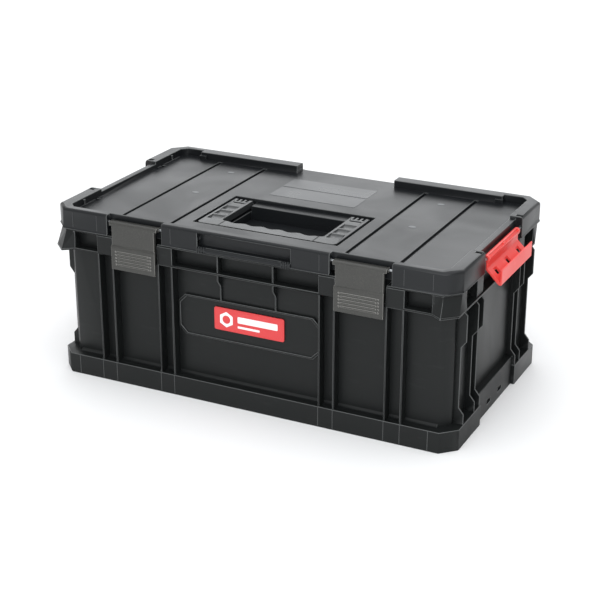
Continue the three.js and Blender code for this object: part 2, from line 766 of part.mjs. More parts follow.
// ---------------------------------------------------------------- latches
// Side profile of a latch: barrel, top plate, bend, front plate with a slight kick,
// and the hook behind it.
function makeLatch(s) {
  const { width, barrel, axisY, axisZ, front, bottom } = LATCH;
  const [x0, x1] = [s * LATCH_X - width / 2, s * LATCH_X + width / 2];
  const t = 1.8;
  const top = axisZ + barrel;
  const plate = [
    [axisY, top],
    [axisY, top - t],
    [front + t + 2, top - t],
    [front + t, top - t - 2.5],
    [front + t, 182],
    [front + t - 1.5, 178],
    [front + t - 1.5, bottom],
    [front - 1.5, bottom],
    [front - 1.5, 178],
    [front, 182],
    [front, top - 4],
    [front + 1.2, top - 1.2],
    [front + 4, top],
  ];
  const hook = [
    [front + t - 2, 159],
    [-141.4, 159],
    [-141.4, 157],
    [front + t - 2, 153],
  ];
  const flanges = [x0, x1 - t].map((x) =>
    sweptX([[axisY, top - 1], [axisY - 2.5, axisZ - 4], [-145.5, 170], [-147.5, bottom + 1],
      [front, bottom + 1], [front + 1, top - 5], [front + 4, top - 1]], x, x + t),
  );
  const grips = [0, 1, 2, 3, 4].map((i) =>
    box(x0 + 5, x1 - 8, front - 2.2, front, 157.5 + 4 * i, 159 + 4 * i),
  );
  const body = join(
    sweptX(plate, x0, x1),
    sweptX(hook, x0 + 6, x1 - 6),
    flanges,
    grips,
    rodX(barrel, s * LATCH_X - 33, s * LATCH_X + 33, axisY, axisZ),
  );
  return cut(body, rodX(1.5 + PIN_CLEARANCE, x0 - 20, x1 + 20, axisY, axisZ));
}

// ---------------------------------------------------------------- side clips
// End profile of a clip: a plate down from the barrel that turns outward at 45 degrees, and
// a lip that stands up from its foot, so that the hook is an open V.
function makeClip(s) {
  const { halfLength, axisX, axisZ, barrel, wall } = CLIP;
  const { kinkZ, footX, footZ, lipX, lipTop } = CLIP_HOOK;
  const back = axisX - 0.4;
  const profile = (points) => points.map(([x, z]) => [s * x, z]);
  const hook = profile([
    [back, axisZ],
    [back, kinkZ],
    [footX - 1, footZ + 0.4],
    [footX, footZ],
    [lipX - 0.9, footZ],
    [lipX - 0.3, footZ + 0.8],
    [lipX, lipTop],
    [lipX - wall + 0.2, lipTop],
    [footX + 1, footZ + 4],
    [back + wall + 0.6, kinkZ + 1.4],
    [back + wall, kinkZ + 2.6],
    [back + wall, axisZ],
  ]);
  const holes = [-37.5, 0, 37.5].map((y) => box(s * 262.6, s * 268.6, y - 3, y + 3, 178, 192));
  // Two long cored channels along the barrel.
  const cores = [-1, 1].map((e) =>
    box(s * (axisX + 1.8), s * (axisX + 5), e * 2.5, e * (halfLength - 4), axisZ - 1, axisZ + 1),
  );
  const body = join(
    sweptY(hook, -halfLength, halfLength),
    rodY(barrel, -halfLength, halfLength, s * axisX, axisZ),
  );
  const bore = rodY(1.5 + PIN_CLEARANCE, -halfLength - 1, halfLength + 1, s * axisX, axisZ);
  return cut(body, holes, cores, bore);
}

// ---------------------------------------------------------------- tray
// Paired ribs on both walls of the rear bay hold each divider.
function dividerRibs() {
  const { thick, ribOut, ribThick } = DIVIDER;
  const near = thick / 2 + GAP;
  return TRAY_DIVIDERS.flatMap((x) =>
    [-1, 1].flatMap((s) => {
      const [a, b] = [x + s * near, x + s * (near + ribThick)];
      const [low, high] = [TRAY.bottom + 1, TRAY.top - 2];
      return [
        box(a, b, GRIP_WALL - 1, GRIP_WALL + ribOut, low, high),
        box(a, b, TRAY.rear - TRAY.wall - ribOut, TRAY.rear - 1, low, high),
      ];
    }),
  );
}

function makeTray() {
  const { x, front, rear, bottom, top, wall, lip } = TRAY;
  const shell = join(
    raised(shapeOf(octagon(-x, x, front, rear, 6)), bottom, top),
    raised(shapeOf(octagon(-lip, lip, front - 4, rear + 4, 8)), top - 2, top),
  );
  const bay = (x0, x1, y0, y1) =>
    raised(shapeOf(octagon(x0, x1, y0, y1, 4)), bottom + wall, top + 1);
  const [left, right] = TRAY_DIVIDERS;
  const bays = [
    bay(wall - x, left - 1, front + wall, TRAY_ROW_Y - GRIP_WALL),
    bay(left + 1, right - 1, front + wall, TRAY_ROW_Y - GRIP_WALL),
    bay(right + 1, x - wall, front + wall, TRAY_ROW_Y - GRIP_WALL),
    bay(wall - x, x - wall, TRAY_ROW_Y + GRIP_WALL, rear - wall),
  ];
  const { half, opening, peg, pegHalf, pegBottom } = GRIP;
  const fingerNotch = box(-half, half, -GRIP_WALL - 1, GRIP_WALL + 1, opening, top + 1);
  const pegSlots = [-1, 1].map((s) =>
    box(s * (half - 1), s * (half + peg), -pegHalf - GAP, pegHalf + GAP, pegBottom - GAP, top + 1),
  );
  return cut(join(cut(shell, bays), dividerRibs()), fingerNotch, pegSlots);
}

// The bar across the finger notch drops into a slot at each end.
function makeGrip() {
  const { half, bottom, peg, pegHalf, pegBottom } = GRIP;
  const top = TRAY.top - GAP;
  const reach = GRIP_WALL - GAP;
  const profile = octagon(-reach, reach, bottom, top, 2);
  const pegs = [-1, 1].map((s) =>
    box(s * (half - 1), s * (half + peg - GAP), -pegHalf, pegHalf, pegBottom, top),
  );
  return join(sweptX(profile, GAP - half, half - GAP), pegs);
}

// A divider slides up out of its ribs. A notch in its top edge is for a fingertip.
function makeDivider(s) {
  const { thick, top, notch } = DIVIDER;
  const x = s * TRAY_DIVIDERS[1];
  const mid = (TRAY_ROW_Y + GRIP_WALL + TRAY.rear - TRAY.wall) / 2;
  const plate = box(
    x - thick / 2,
    x + thick / 2,
    TRAY_ROW_Y + GRIP_WALL + GAP,
    TRAY.rear - TRAY.wall - GAP,
    TRAY.bottom + TRAY.wall + GAP,
    top,
  );
  return cut(plate, rodX(notch, x - 3, x + 3, mid, top + 2, 32));
}

// ---------------------------------------------------------------- assembly
add("box_body", makeBox(), blackPlastic);
add("badge", makeBadge(), redPlastic);
add("lid", makeLid(), lidPlastic);
add("carry_handle", makeHandle(), lidPlastic);
add("tray", makeTray(), trayPlastic);
add("tray_grip", makeGrip(), trayPlastic);

for (const [side, s] of [["left", -1], ["right", 1]]) {
  add(`latch_${side}`, makeLatch(s), latchPlastic);
  const { halfWidth, cheek } = LATCH_NOTCH;
  const reach = halfWidth + cheek - 1;
  add(
    `latch_pin_${side}`,
    rodX(1.5, s * LATCH_X - reach, s * LATCH_X + reach, LATCH.axisY, LATCH.axisZ),
    steel,
  );
  add(`divider_${side}`, makeDivider(s), trayPlastic);
  add(`clip_${side}`, makeClip(s), redPlastic);
  const clipReach = CLIP_NOTCH.half + 1.7;
  add(`clip_pin_${side}`, rodY(1.5, -clipReach, clipReach, s * CLIP.axisX, CLIP.axisZ), steel);
  add(
    `handle_pin_${side}`,
    rodX(HANDLE_AXIS.pin, s * 57.3, s * 96.5, HANDLE_AXIS.y, HANDLE_AXIS.z),
    steel,
  );
}

for (const [place, x] of [["left", HINGE.xs[0]], ["middle", HINGE.xs[1]], ["right", HINGE.xs[2]]]) {
  const reach = HINGE.boxOuter + 0.5;
  add(`lid_hinge_pin_${place}`, rodX(2, x - reach, x + reach, HINGE.y, HINGE.z), steel);
}

export default toolbox;
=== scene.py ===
"""Stackable moulded toolbox with a lift-out tray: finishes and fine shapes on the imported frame."""

import logging
import math
from dataclasses import dataclass, field
from enum import Enum
from typing import Any, Iterable, Sequence

import bmesh
import bpy
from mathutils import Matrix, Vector


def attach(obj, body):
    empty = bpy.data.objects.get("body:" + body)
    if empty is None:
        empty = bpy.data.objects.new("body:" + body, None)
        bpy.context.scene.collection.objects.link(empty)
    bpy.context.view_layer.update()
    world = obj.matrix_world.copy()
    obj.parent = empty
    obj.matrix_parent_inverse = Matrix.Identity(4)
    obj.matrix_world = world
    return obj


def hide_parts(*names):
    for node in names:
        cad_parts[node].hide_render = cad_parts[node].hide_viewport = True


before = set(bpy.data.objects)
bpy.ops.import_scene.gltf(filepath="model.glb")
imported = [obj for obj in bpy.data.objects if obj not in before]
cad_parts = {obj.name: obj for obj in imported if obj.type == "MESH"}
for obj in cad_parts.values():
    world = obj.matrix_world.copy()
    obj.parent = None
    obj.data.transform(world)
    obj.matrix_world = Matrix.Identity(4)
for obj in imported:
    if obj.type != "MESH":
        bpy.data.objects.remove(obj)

log = logging.getLogger("toolbox")
MM = 0.001
PIN_BORE = 1.6  # radius of every hole that a pin turns in, in millimetres
FULL_TURN = [math.tau * i / 32 for i in range(32)]
Point = tuple[float, float]
Object = bpy.types.Object


class Axis(Enum):
    """The direction an outline is swept along, with the two axes it is drawn in."""

    X = (0, 1, 2)
    Y = (1, 0, 2)
    Z = (2, 0, 1)


class Side(Enum):
    """Left and right, as the sign of X."""

    LEFT = -1
    RIGHT = 1

    @property
    def word(self) -> str:
        """The name used in node and body names."""
        return self.name.lower()


class Carve(Enum):
    """What a second solid does to the first."""

    CUT = "DIFFERENCE"
    WELD = "UNION"


# ------------------------------------------------------------------ finishes
def linear(colour: str) -> tuple[float, float, float, float]:
    """Turns an sRGB hex colour into linear light.

    Args:
        colour: six hex digits after a hash sign.

    Returns:
        Red, green, blue and an alpha of 1.
    """
    parts = [int(colour[i : i + 2], 16) / 255 for i in (1, 3, 5)]
    light = [c / 12.92 if c <= 0.04045 else ((c + 0.055) / 1.055) ** 2.4 for c in parts]
    return (*light, 1.0)


def add_node(
    tree: bpy.types.NodeTree,
    kind: str,
    settings: dict[Any, Any] | None = None,
    links: dict[Any, bpy.types.NodeSocket] | None = None,
) -> bpy.types.Node:
    """Adds one shader node.

    Args:
        tree: the material's node tree.
        kind: the node's class name.
        settings: values for its input sockets, by name or number, or for its own options.
        links: the output socket that feeds each input, by name or number.

    Returns:
        The new node.
    """
    node = tree.nodes.new(kind)
    for key, value in (settings or {}).items():
        if isinstance(key, int) or key in node.inputs:
            node.inputs[key].default_value = value
        else:
            setattr(node, key, value)
    for key, socket in (links or {}).items():
        tree.links.new(socket, node.inputs[key])
    return node


def fresh_tree(name: str) -> tuple[bpy.types.Material, bpy.types.NodeTree, bpy.types.NodeSocket]:
    """Starts a material with nothing in it but its output.

    Args:
        name: the material's common name.

    Returns:
        The material, its node tree and the socket its surface goes into.
    """
    material = bpy.data.materials.new(name)
    material.use_nodes = True
    material.node_tree.nodes.clear()
    output = add_node(material.node_tree, "ShaderNodeOutputMaterial")
    return material, material.node_tree, output.inputs["Surface"]


@dataclass(frozen=True)
class MouldedPlastic:
    """Injection-moulded plastic: the tool's spark-eroded grain, flow marks and light scuffs.

    Sizes are in millimetres. The real grain is about 0.2 mm, too fine to show, so it is drawn
    at grain_mm. It breaks up reflections, so that flat walls look satin and not like glass.
    """

    name: str
    colour: str
    worn: str
    roughness: float
    ior: float = 1.49
    grain_mm: float = 1.3
    grain_depth_mm: float = 0.035
    flow_mm: float = 90.0
    scuff_mm: float = 16.0
    specular: float = 0.5
    scatter: float = 0.0

    def material(self) -> bpy.types.Material:
        """Builds the material."""
        material, tree, surface = fresh_tree(self.name)
        place = add_node(tree, "ShaderNodeTexCoord").outputs["Object"]
        grain = add_node(
            tree,
            "ShaderNodeTexNoise",
            {"Scale": 1 / (self.grain_mm * MM), "Detail": 3.0, "Roughness": 0.6},
            {"Vector": place},
        )
        # Slow swells left where the melt cooled at different rates.
        flow = add_node(
            tree,
            "ShaderNodeTexNoise",
            {"Scale": 1 / (self.flow_mm * MM), "Detail": 2.0, "Distortion": 0.8},
            {"Vector": place},
        )
        # Rubs from other boxes run mostly along the length.
        along = add_node(tree, "ShaderNodeMapping", {"Scale": (0.35, 1.0, 1.6)}, {"Vector": place})
        rubs = add_node(
            tree,
            "ShaderNodeTexNoise",
            {"Scale": 1 / (self.scuff_mm * MM), "Detail": 6.0, "Roughness": 0.72},
            {"Vector": along.outputs["Vector"]},
        )
        scuffs = add_node(
            tree,
            "ShaderNodeMapRange",
            {"From Min": 0.58, "From Max": 0.78, "To Min": 0.0, "To Max": 0.55},
            {"Value": rubs.outputs["Fac"]},
        )
        tone = add_node(
            tree,
            "ShaderNodeMix",
            {"data_type": "RGBA", 6: linear(self.colour), 7: linear(self.worn)},
            {0: scuffs.outputs["Result"]},
        )
        rough = add_node(
            tree,
            "ShaderNodeMapRange",
            {
                "From Min": 0.3,
                "From Max": 0.7,
                "To Min": self.roughness - 0.05,
                "To Max": self.roughness + 0.06,
            },
            {"Value": flow.outputs["Fac"]},
        )
        bump = add_node(
            tree,
            "ShaderNodeBump",
            {"Strength": 1.0, "Distance": self.grain_depth_mm * MM},
            {"Height": grain.outputs["Fac"]},
        )
        shader = add_node(
            tree,
            "ShaderNodeBsdfPrincipled",
            {
                "IOR": self.ior,
                "Specular IOR Level": self.specular,
                "Subsurface Weight": self.scatter,
                "Subsurface Scale": 2 * MM,
            },
            {
                "Base Color": tone.outputs[2],
                "Roughness": rough.outputs["Result"],
                "Normal": bump.outputs["Normal"],
            },
        )
        tree.links.new(shader.outputs["BSDF"], surface)
        return material


@dataclass(frozen=True)
class FlakedPolyamide:
    """Moulded polyamide with aluminium flake in it, which gives latches a dull graphite sheen."""

    name: str = "flaked moulded polyamide"
    colour: str = "#3b3b39"
    flake: str = "#565550"
    roughness: float = 0.38
    flake_mm: float = 0.7
    grain_depth_mm: float = 0.008

    def material(self) -> bpy.types.Material:
        """Builds the material."""
        material, tree, surface = fresh_tree(self.name)
        place = add_node(tree, "ShaderNodeTexCoord").outputs["Object"]
        # Real flake is about 0.05 mm. It is drawn coarser, so that the sheen sparkles a little.
        cells = add_node(
            tree,
            "ShaderNodeTexVoronoi",
            {"Scale": 1 / (self.flake_mm * MM)},
            {"Vector": place},
        )
        speck = add_node(
            tree,
            "ShaderNodeMapRange",
            {"From Min": 0.55, "From Max": 0.95, "To Min": 0.0, "To Max": 0.45},
            {"Value": cells.outputs["Color"]},
        )
        tone = add_node(
            tree,
            "ShaderNodeMix",
            {"data_type": "RGBA", 6: linear(self.colour), 7: linear(self.flake)},
            {0: speck.outputs["Result"]},
        )
        swirl = add_node(
            tree,
            "ShaderNodeTexNoise",
            {"Scale": 1 / (22 * MM), "Detail": 4.0},
            {"Vector": place},
        )
        rough = add_node(
            tree,
            "ShaderNodeMapRange",
            {"To Min": self.roughness - 0.08, "To Max": self.roughness + 0.08},
            {"Value": swirl.outputs["Fac"]},
        )
        bump = add_node(
            tree,
            "ShaderNodeBump",
            {"Strength": 1.0, "Distance": self.grain_depth_mm * MM},
            {"Height": cells.outputs["Distance"]},
        )
        shader = add_node(
            tree,
            "ShaderNodeBsdfPrincipled",
            {"IOR": 1.53, "Metallic": 0.35},
            {
                "Base Color": tone.outputs[2],
                "Roughness": rough.outputs["Result"],
                "Normal": bump.outputs["Normal"],
            },
        )
        tree.links.new(shader.outputs["BSDF"], surface)
        return material


@dataclass(frozen=True)
class DrawnSteel:
    """Bright drawn steel wire: fine lines along its length from the die."""

    name: str = "drawn steel"
    colour: str = "#a5a8aa"
    roughness: float = 0.36
    line_mm: float = 0.35

    def material(self) -> bpy.types.Material:
        """Builds the material."""
        material, tree, surface = fresh_tree(self.name)
        place = add_node(tree, "ShaderNodeTexCoord").outputs["Object"]
        lines = add_node(tree, "ShaderNodeMapping", {"Scale": (0.04, 1.0, 1.0)}, {"Vector": place})
        marks = add_node(
            tree,
            "ShaderNodeTexNoise",
            {"Scale": 1 / (self.line_mm * MM), "Detail": 3.0},
            {"Vector": lines.outputs["Vector"]},
        )
        rough = add_node(
            tree,
            "ShaderNodeMapRange",
            {"To Min": self.roughness - 0.08, "To Max": self.roughness + 0.14},
            {"Value": marks.outputs["Fac"]},
        )
        bump = add_node(
            tree,
            "ShaderNodeBump",
            {"Strength": 0.6, "Distance": 0.01 * MM},
            {"Height": marks.outputs["Fac"]},
        )
        shader = add_node(
            tree,
            "ShaderNodeBsdfPrincipled",
            {"Base Color": linear(self.colour), "Metallic": 1.0},
            {"Roughness": rough.outputs["Result"], "Normal": bump.outputs["Normal"]},
        )
        tree.links.new(shader.outputs["BSDF"], surface)
        return material


@dataclass(frozen=True)
class FloorPaint:
    """Matt pale floor paint with the faint stipple of a roller."""

    name: str = "matt floor paint"
    colour: str = "#f4f4f4"
    stipple_mm: float = 3.0

    def material(self) -> bpy.types.Material:
        """Builds the material."""
        material, tree, surface = fresh_tree(self.name)
        place = add_node(tree, "ShaderNodeTexCoord").outputs["Object"]
        stipple = add_node(
            tree,
            "ShaderNodeTexNoise",
            {"Scale": 1 / (self.stipple_mm * MM), "Detail": 2.0},
            {"Vector": place},
        )
        bump = add_node(
            tree,
            "ShaderNodeBump",
            {"Strength": 0.3, "Distance": 0.05 * MM},
            {"Height": stipple.outputs["Fac"]},
        )
        shader = add_node(
            tree,
            "ShaderNodeBsdfPrincipled",
            {"Base Color": linear(self.colour), "Roughness": 0.85},
            {"Normal": bump.outputs["Normal"]},
        )
        tree.links.new(shader.outputs["BSDF"], surface)
        return material


@dataclass
class Finishes:
    """Every finish on the toolbox, built once."""

    # Near-black polypropylene, satin from its grain. Its rubs show as a dull grey bloom.
    box: bpy.types.Material = field(
        default_factory=MouldedPlastic(
            "moulded polypropylene, box", "#161818", "#272929", 0.4, specular=0.24
        ).material
    )
    lid: bpy.types.Material = field(
        default_factory=MouldedPlastic(
            "moulded polypropylene, lid", "#17191b", "#2a2d2f", 0.36, specular=0.3
        ).material
    )
    handle: bpy.types.Material = field(
        default_factory=MouldedPlastic(
            "moulded polypropylene, handle", "#2a2c2d", "#44474a", 0.36, scuff_mm=9.0, specular=0.56
        ).material
    )
    tray: bpy.types.Material = field(
        default_factory=MouldedPlastic(
            "moulded polypropylene, tray", "#222426", "#303234", 0.5
        ).material
    )
    # Rounded edges take a paler finish: a painted highlight standing in for the glint each rounded
    # edge catches, so each draws a pale line.
    edge: bpy.types.Material = field(
        default_factory=MouldedPlastic(
            "polypropylene edge, painted highlight", "#4a4c4c", "#6b6e6e", 0.34, scuff_mm=24.0
        ).material
    )
    # A fainter painted highlight for the rounded edges of the lid's small parts, the handle and the
    # tray.
    soft_edge_highlight: bpy.types.Material = field(
        default_factory=MouldedPlastic(
            "polypropylene edge, faint painted highlight", "#333536", "#4d5051", 0.36, scuff_mm=24.0
        ).material
    )
    # A polished patch in the mould: smoother, so it mirrors the sky more. Its base colour is paler
    # than the lid's, a painted sheen.
    patch: bpy.types.Material = field(
        default_factory=MouldedPlastic(
            "polished moulded polypropylene",
            "#2c2e30",
            "#484b4d",
            0.3,
            grain_mm=2.2,
            grain_depth_mm=0.015,
            specular=0.34,
        ).material
    )
    # Where the melt went in, the surface is blushed almost white.
    blush: bpy.types.Material = field(
        default_factory=MouldedPlastic(
            "gate blush on polypropylene", "#55585a", "#6c6f71", 0.42, scuff_mm=5.0
        ).material
    )
    # Coral red polypropylene, slightly waxy because light goes a little way into it.
    red: bpy.types.Material = field(
        default_factory=MouldedPlastic(
            "moulded polypropylene, coral red", "#e84c47", "#f08078", 0.4, scatter=0.06
        ).material
    )
    badge: bpy.types.Material = field(
        default_factory=MouldedPlastic(
            "moulded ABS, red",
            "#d2383a",
            "#dc5658",
            0.33,
            ior=1.54,
            grain_mm=0.9,
            grain_depth_mm=0.012,
        ).material
    )
    ink: bpy.types.Material = field(
        default_factory=MouldedPlastic(
            "hot-stamped white foil",
            "#f0eeee",
            "#d9d4d4",
            0.4,
            grain_mm=0.8,
            grain_depth_mm=0.01,
        ).material
    )
    latch: bpy.types.Material = field(default_factory=FlakedPolyamide().material)
    # The latch's rounded edges take a paler flaked finish, a painted highlight.
    latch_edge: bpy.types.Material = field(
        default_factory=FlakedPolyamide(
            "flaked polyamide edge, painted highlight", "#84837f", "#a09f9a", 0.34
        ).material
    )
    steel: bpy.types.Material = field(default_factory=DrawnSteel().material)


# ------------------------------------------------------------------ mesh tools
def arc(centre: Point, radius: float, start: float, end: float, steps: int = 6) -> list[Point]:
    """Points along part of a circle.

    Args:
        centre: the circle's centre.
        radius: its radius.
        start: the first angle in degrees.
        end: the last angle in degrees.
        steps: how many chords it is made of.

    Returns:
        The points, both ends included.
    """
    angles = [math.radians(start + (end - start) * i / steps) for i in range(steps + 1)]
    return [(centre[0] + radius * math.cos(a), centre[1] + radius * math.sin(a)) for a in angles]


def rounded(low: Point, high: Point, radius: float, steps: int = 5) -> list[Point]:
    """A rectangle with round corners.

    Args:
        low: its lower corner.
        high: its upper corner.
        radius: the corners' radius.
        steps: how many chords each corner has.

    Returns:
        The outline, anticlockwise.
    """
    (x0, y0), (x1, y1) = low, high
    r = radius
    return [
        *arc((x1 - r, y0 + r), r, -90, 0, steps),
        *arc((x1 - r, y1 - r), r, 0, 90, steps),
        *arc((x0 + r, y1 - r), r, 90, 180, steps),
        *arc((x0 + r, y0 + r), r, 180, 270, steps),
    ]


def ribbon(path: Sequence[Point], thickness: float) -> list[Point]:
    """Thickens an open path to its left.

    Args:
        path: the points of one face.
        thickness: how far away the other face is.

    Returns:
        A closed outline.
    """
    other = []
    for i, point in enumerate(path):
        before, after = path[max(i - 1, 0)], path[min(i + 1, len(path) - 1)]
        way = Vector((after[0] - before[0], after[1] - before[1])).normalized()
        other.append((point[0] - way.y * thickness, point[1] + way.x * thickness))
    return [*path, *reversed(other)]


def sweep(name: str, outline: Sequence[Point], axis: Axis, start: float, end: float) -> Object:
    """Makes a closed solid from an outline swept straight along an axis.

    Args:
        name: the object's name.
        outline: points in millimetres in the plane across the axis.
        axis: the direction of the sweep.
        start: where it starts along the axis, in millimetres.
        end: where it ends.

    Returns:
        The object, in the scene.
    """
    along, across, up = axis.value
    mesh = bmesh.new()
    rings = []
    for place in (start, end):
        ring = []
        for a, b in outline:
            spot = [0.0, 0.0, 0.0]
            spot[along], spot[across], spot[up] = place * MM, a * MM, b * MM
            ring.append(mesh.verts.new(spot))
        rings.append(ring)
    mesh.faces.new(rings[0])
    mesh.faces.new(rings[1])
    for i in range(len(outline)):
        j = (i + 1) % len(outline)
        mesh.faces.new((rings[0][i], rings[0][j], rings[1][j], rings[1][i]))
    bmesh.ops.recalc_face_normals(mesh, faces=mesh.faces)
    data = bpy.data.meshes.new(name)
    mesh.to_mesh(data)
    mesh.free()
    made = bpy.data.objects.new(name, data)
    bpy.context.scene.collection.objects.link(made)
    return made


def block(name: str, low: Sequence[float], high: Sequence[float]) -> Object:
    """A cutter or rib between two corners, in millimetres."""
    outline = [(low[0], low[1]), (high[0], low[1]), (high[0], high[1]), (low[0], high[1])]
    return sweep(name, outline, Axis.Z, low[2], high[2])


def carve(base: Object, tools: Iterable[Object], how: Carve) -> Object:
    """Cuts or welds solids, and keeps the result as the base's own mesh.

    Args:
        base: the solid that stays.
        tools: the solids used on it, which are used up.
        how: whether they are cut away or welded on.

    Returns:
        The base.
    """
    used = list(tools)
    for tool in used:
        step = base.modifiers.new(tool.name, "BOOLEAN")
        step.object, step.operation, step.solver = tool, how.value, "EXACT"
    graph = bpy.context.evaluated_depsgraph_get()
    data = bpy.data.meshes.new_from_object(base.evaluated_get(graph))
    # Large faces with deep bays fold over themselves unless they are split up.
    mesh = bmesh.new()
    mesh.from_mesh(data)
    bmesh.ops.triangulate(mesh, faces=[face for face in mesh.faces if len(face.verts) > 8])
    mesh.to_mesh(data)
    mesh.free()
    base.modifiers.clear()
    base.data = data
    for tool in used:
        bpy.data.objects.remove(tool)
    return base


def gather(name: str, parts: Sequence[Object]) -> Object:
    """Puts several separate solids into one object.

    Args:
        name: the new object's name.
        parts: the solids, which are used up.

    Returns:
        The object.
    """
    mesh = bmesh.new()
    for part in parts:
        mesh.from_mesh(part.data)
        bpy.data.objects.remove(part)
    data = bpy.data.meshes.new(name)
    mesh.to_mesh(data)
    mesh.free()
    made = bpy.data.objects.new(name, data)
    bpy.context.scene.collection.objects.link(made)
    return made


def soften(item: Object, radius: float, segments: int = 3, angle: float = 28.0) -> Object:
    """Rounds every sharp edge as a mould does, so that each catches a thin line of light.

    Args:
        item: the piece.
        radius: the edge radius in millimetres.
        segments: facets round each edge.
        angle: the sharpest turn in degrees that is left alone.

    Returns:
        The piece.
    """
    clean = item.modifiers.new("weld", "WELD")
    clean.merge_threshold = 0.01 * MM
    edge = item.modifiers.new("edges", "BEVEL")
    edge.width, edge.segments = radius * MM, segments
    edge.limit_method, edge.angle_limit = "ANGLE", math.radians(angle)
    edge.use_clamp_overlap = False
    edge.miter_outer = "MITER_ARC"
    for face in item.data.polygons:
        face.use_smooth = True
    lay = item.modifiers.new("lay", "WEIGHTED_NORMAL")
    lay.keep_sharp, lay.weight = True, 80
    return item


def round_outer_edges(item: Object, radius: float, angle: float = 50.0) -> Object:
    """Rounds only the outer edges of a CAD piece, and leaves its inner corners crisp, so only outer
    edges take the pale painted highlight.

    Args:
        item: the piece, whose faces each have their own vertices.
        radius: the edge radius in millimetres.
        angle: the sharpest turn in degrees that is left alone.

    Returns:
        The piece.
    """
    soften(item, radius, 2)
    mesh = item.data
    spots = [tuple(round(c * 1e5) for c in vertex.co) for vertex in mesh.vertices]
    sides: dict[frozenset, list[Any]] = {}
    for face in mesh.polygons:
        for a, b in face.edge_keys:
            sides.setdefault(frozenset((spots[a], spots[b])), []).append(face)
    weights = mesh.attributes.new("bevel_weight_edge", "FLOAT", "EDGE")
    for edge in mesh.edges:
        faces = sides.get(frozenset(spots[i] for i in edge.vertices), [])
        if len(faces) != 2:
            continue
        first, second = faces
        if first.normal.angle(second.normal, 0.0) > math.radians(angle):
            if (second.center - first.center).dot(first.normal) < 0:
                weights.data[edge.index].value = 1.0
            else:
                edge.use_edge_sharp = True
    item.modifiers["edges"].limit_method = "WEIGHT"
    return item


def dress(
    item: Object, finish: bpy.types.Material, edge: bpy.types.Material | None = None
) -> Object:
    """Gives a piece its finish, in place of any it had.

    Args:
        item: the piece.
        finish: what its faces take.
        edge: what its rounded edges take: a paler finish, painted as a highlight.

    Returns:
        The piece.
    """
    if item.material_slots:
        for holder in item.material_slots:
            holder.material = finish
    else:
        item.data.materials.append(finish)
    if edge is not None:
        item.data.materials.append(edge)
        item.modifiers["edges"].material = len(item.material_slots) - 1
    return item


def fit(
    item: Object,
    body: str,
    finish: bpy.types.Material,
    edge: bpy.types.Material | None = None,
) -> Object:
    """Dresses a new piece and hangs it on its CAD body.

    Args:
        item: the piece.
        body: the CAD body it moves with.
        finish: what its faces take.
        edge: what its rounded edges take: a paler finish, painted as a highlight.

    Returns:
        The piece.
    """
    dress(item, finish, edge)
    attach(item, body)
    log.info("%s rides on %s", item.name, body)
    return item


def witness_lines(
    name: str, xs: Iterable[float], reach: Point, heights: Point, edge: float
) -> Object:
    """Thin upright lines, front and rear, left and right, where the mould's inserts meet.

    Args:
        name: the new object's name.
        xs: how far each pair of lines is from the middle.
        reach: how far from the middle plane each line starts and ends, front to rear.
        heights: each line's foot and top.
        edge: the radius of the lines' own edges.

    Returns:
        The lines as one object.
    """
    half, lines = 0.35, []
    for x in xs:
        for sign in (-1, 1):
            for face in (-1, 1):
                y0, y1 = sorted(face * y for y in reach)
                low, high = (sign * x - half, y0, heights[0]), (sign * x + half, y1, heights[1])
                lines.append(block("line", low, high))
    return soften(gather(name, lines), edge, 1)


# ------------------------------------------------------------------ the box
@dataclass
class BoxBody:
    """The box: ribbed walls, two flanges, a label pad and a base skirt. Millimetres."""

    finishes: Finishes
    wall: float = 134.0
    skirt: float = 148.5
    skirt_top: float = 26.0
    rib_xs: tuple[float, ...] = (96.0, 114.5, 178.0, 198.0)
    corner_x: float = 232.0
    edge: float = 0.65
    cove: float = 5.0
    cove_end: float = 238.0
    rib_gap: float = 1.2
    overlap: float = 0.3

    def build(self) -> None:
        """Rounds the CAD body's edges and adds what the mould leaves on it."""
        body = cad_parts["box_body"]
        round_outer_edges(body, self.edge)
        dress(body, self.finishes.box, self.finishes.edge)
        fit(self.foot_fillets(), "box", self.finishes.box, self.finishes.edge)
        lines = witness_lines(
            "skirt_witness_lines",
            (*self.rib_xs, self.corner_x),
            (self.skirt - 0.55, self.skirt + 0.15),
            (1.2, 25.2),
            0.12,
        )
        # The lines take the pale edge finish all over: a painted highlight along each thin ridge.
        fit(lines, "box", self.finishes.edge)

    def foot_fillets(self) -> Object:
        """Coves where the front and rear walls meet the shelf, one in each bay."""
        ribs = sorted(sign * x for x in self.rib_xs for sign in (-1, 1))
        starts = [-self.cove_end, *(x + self.rib_gap for x in ribs)]
        ends = [*(x - self.rib_gap for x in ribs), self.cove_end]
        low, radius = self.skirt_top - self.overlap, self.cove
        coves = []
        for sign, first, last in ((-1, 0, -90), (1, 180, 270)):
            wall = sign * (self.wall - self.overlap)
            hollow = arc((wall + sign * radius, low + radius), radius, first, last)
            for start, end in zip(starts, ends):
                coves.append(sweep("cove", [(wall, low), *hollow], Axis.X, start, end))
        return soften(gather("foot_fillets", coves), 0.25, 1, 40)


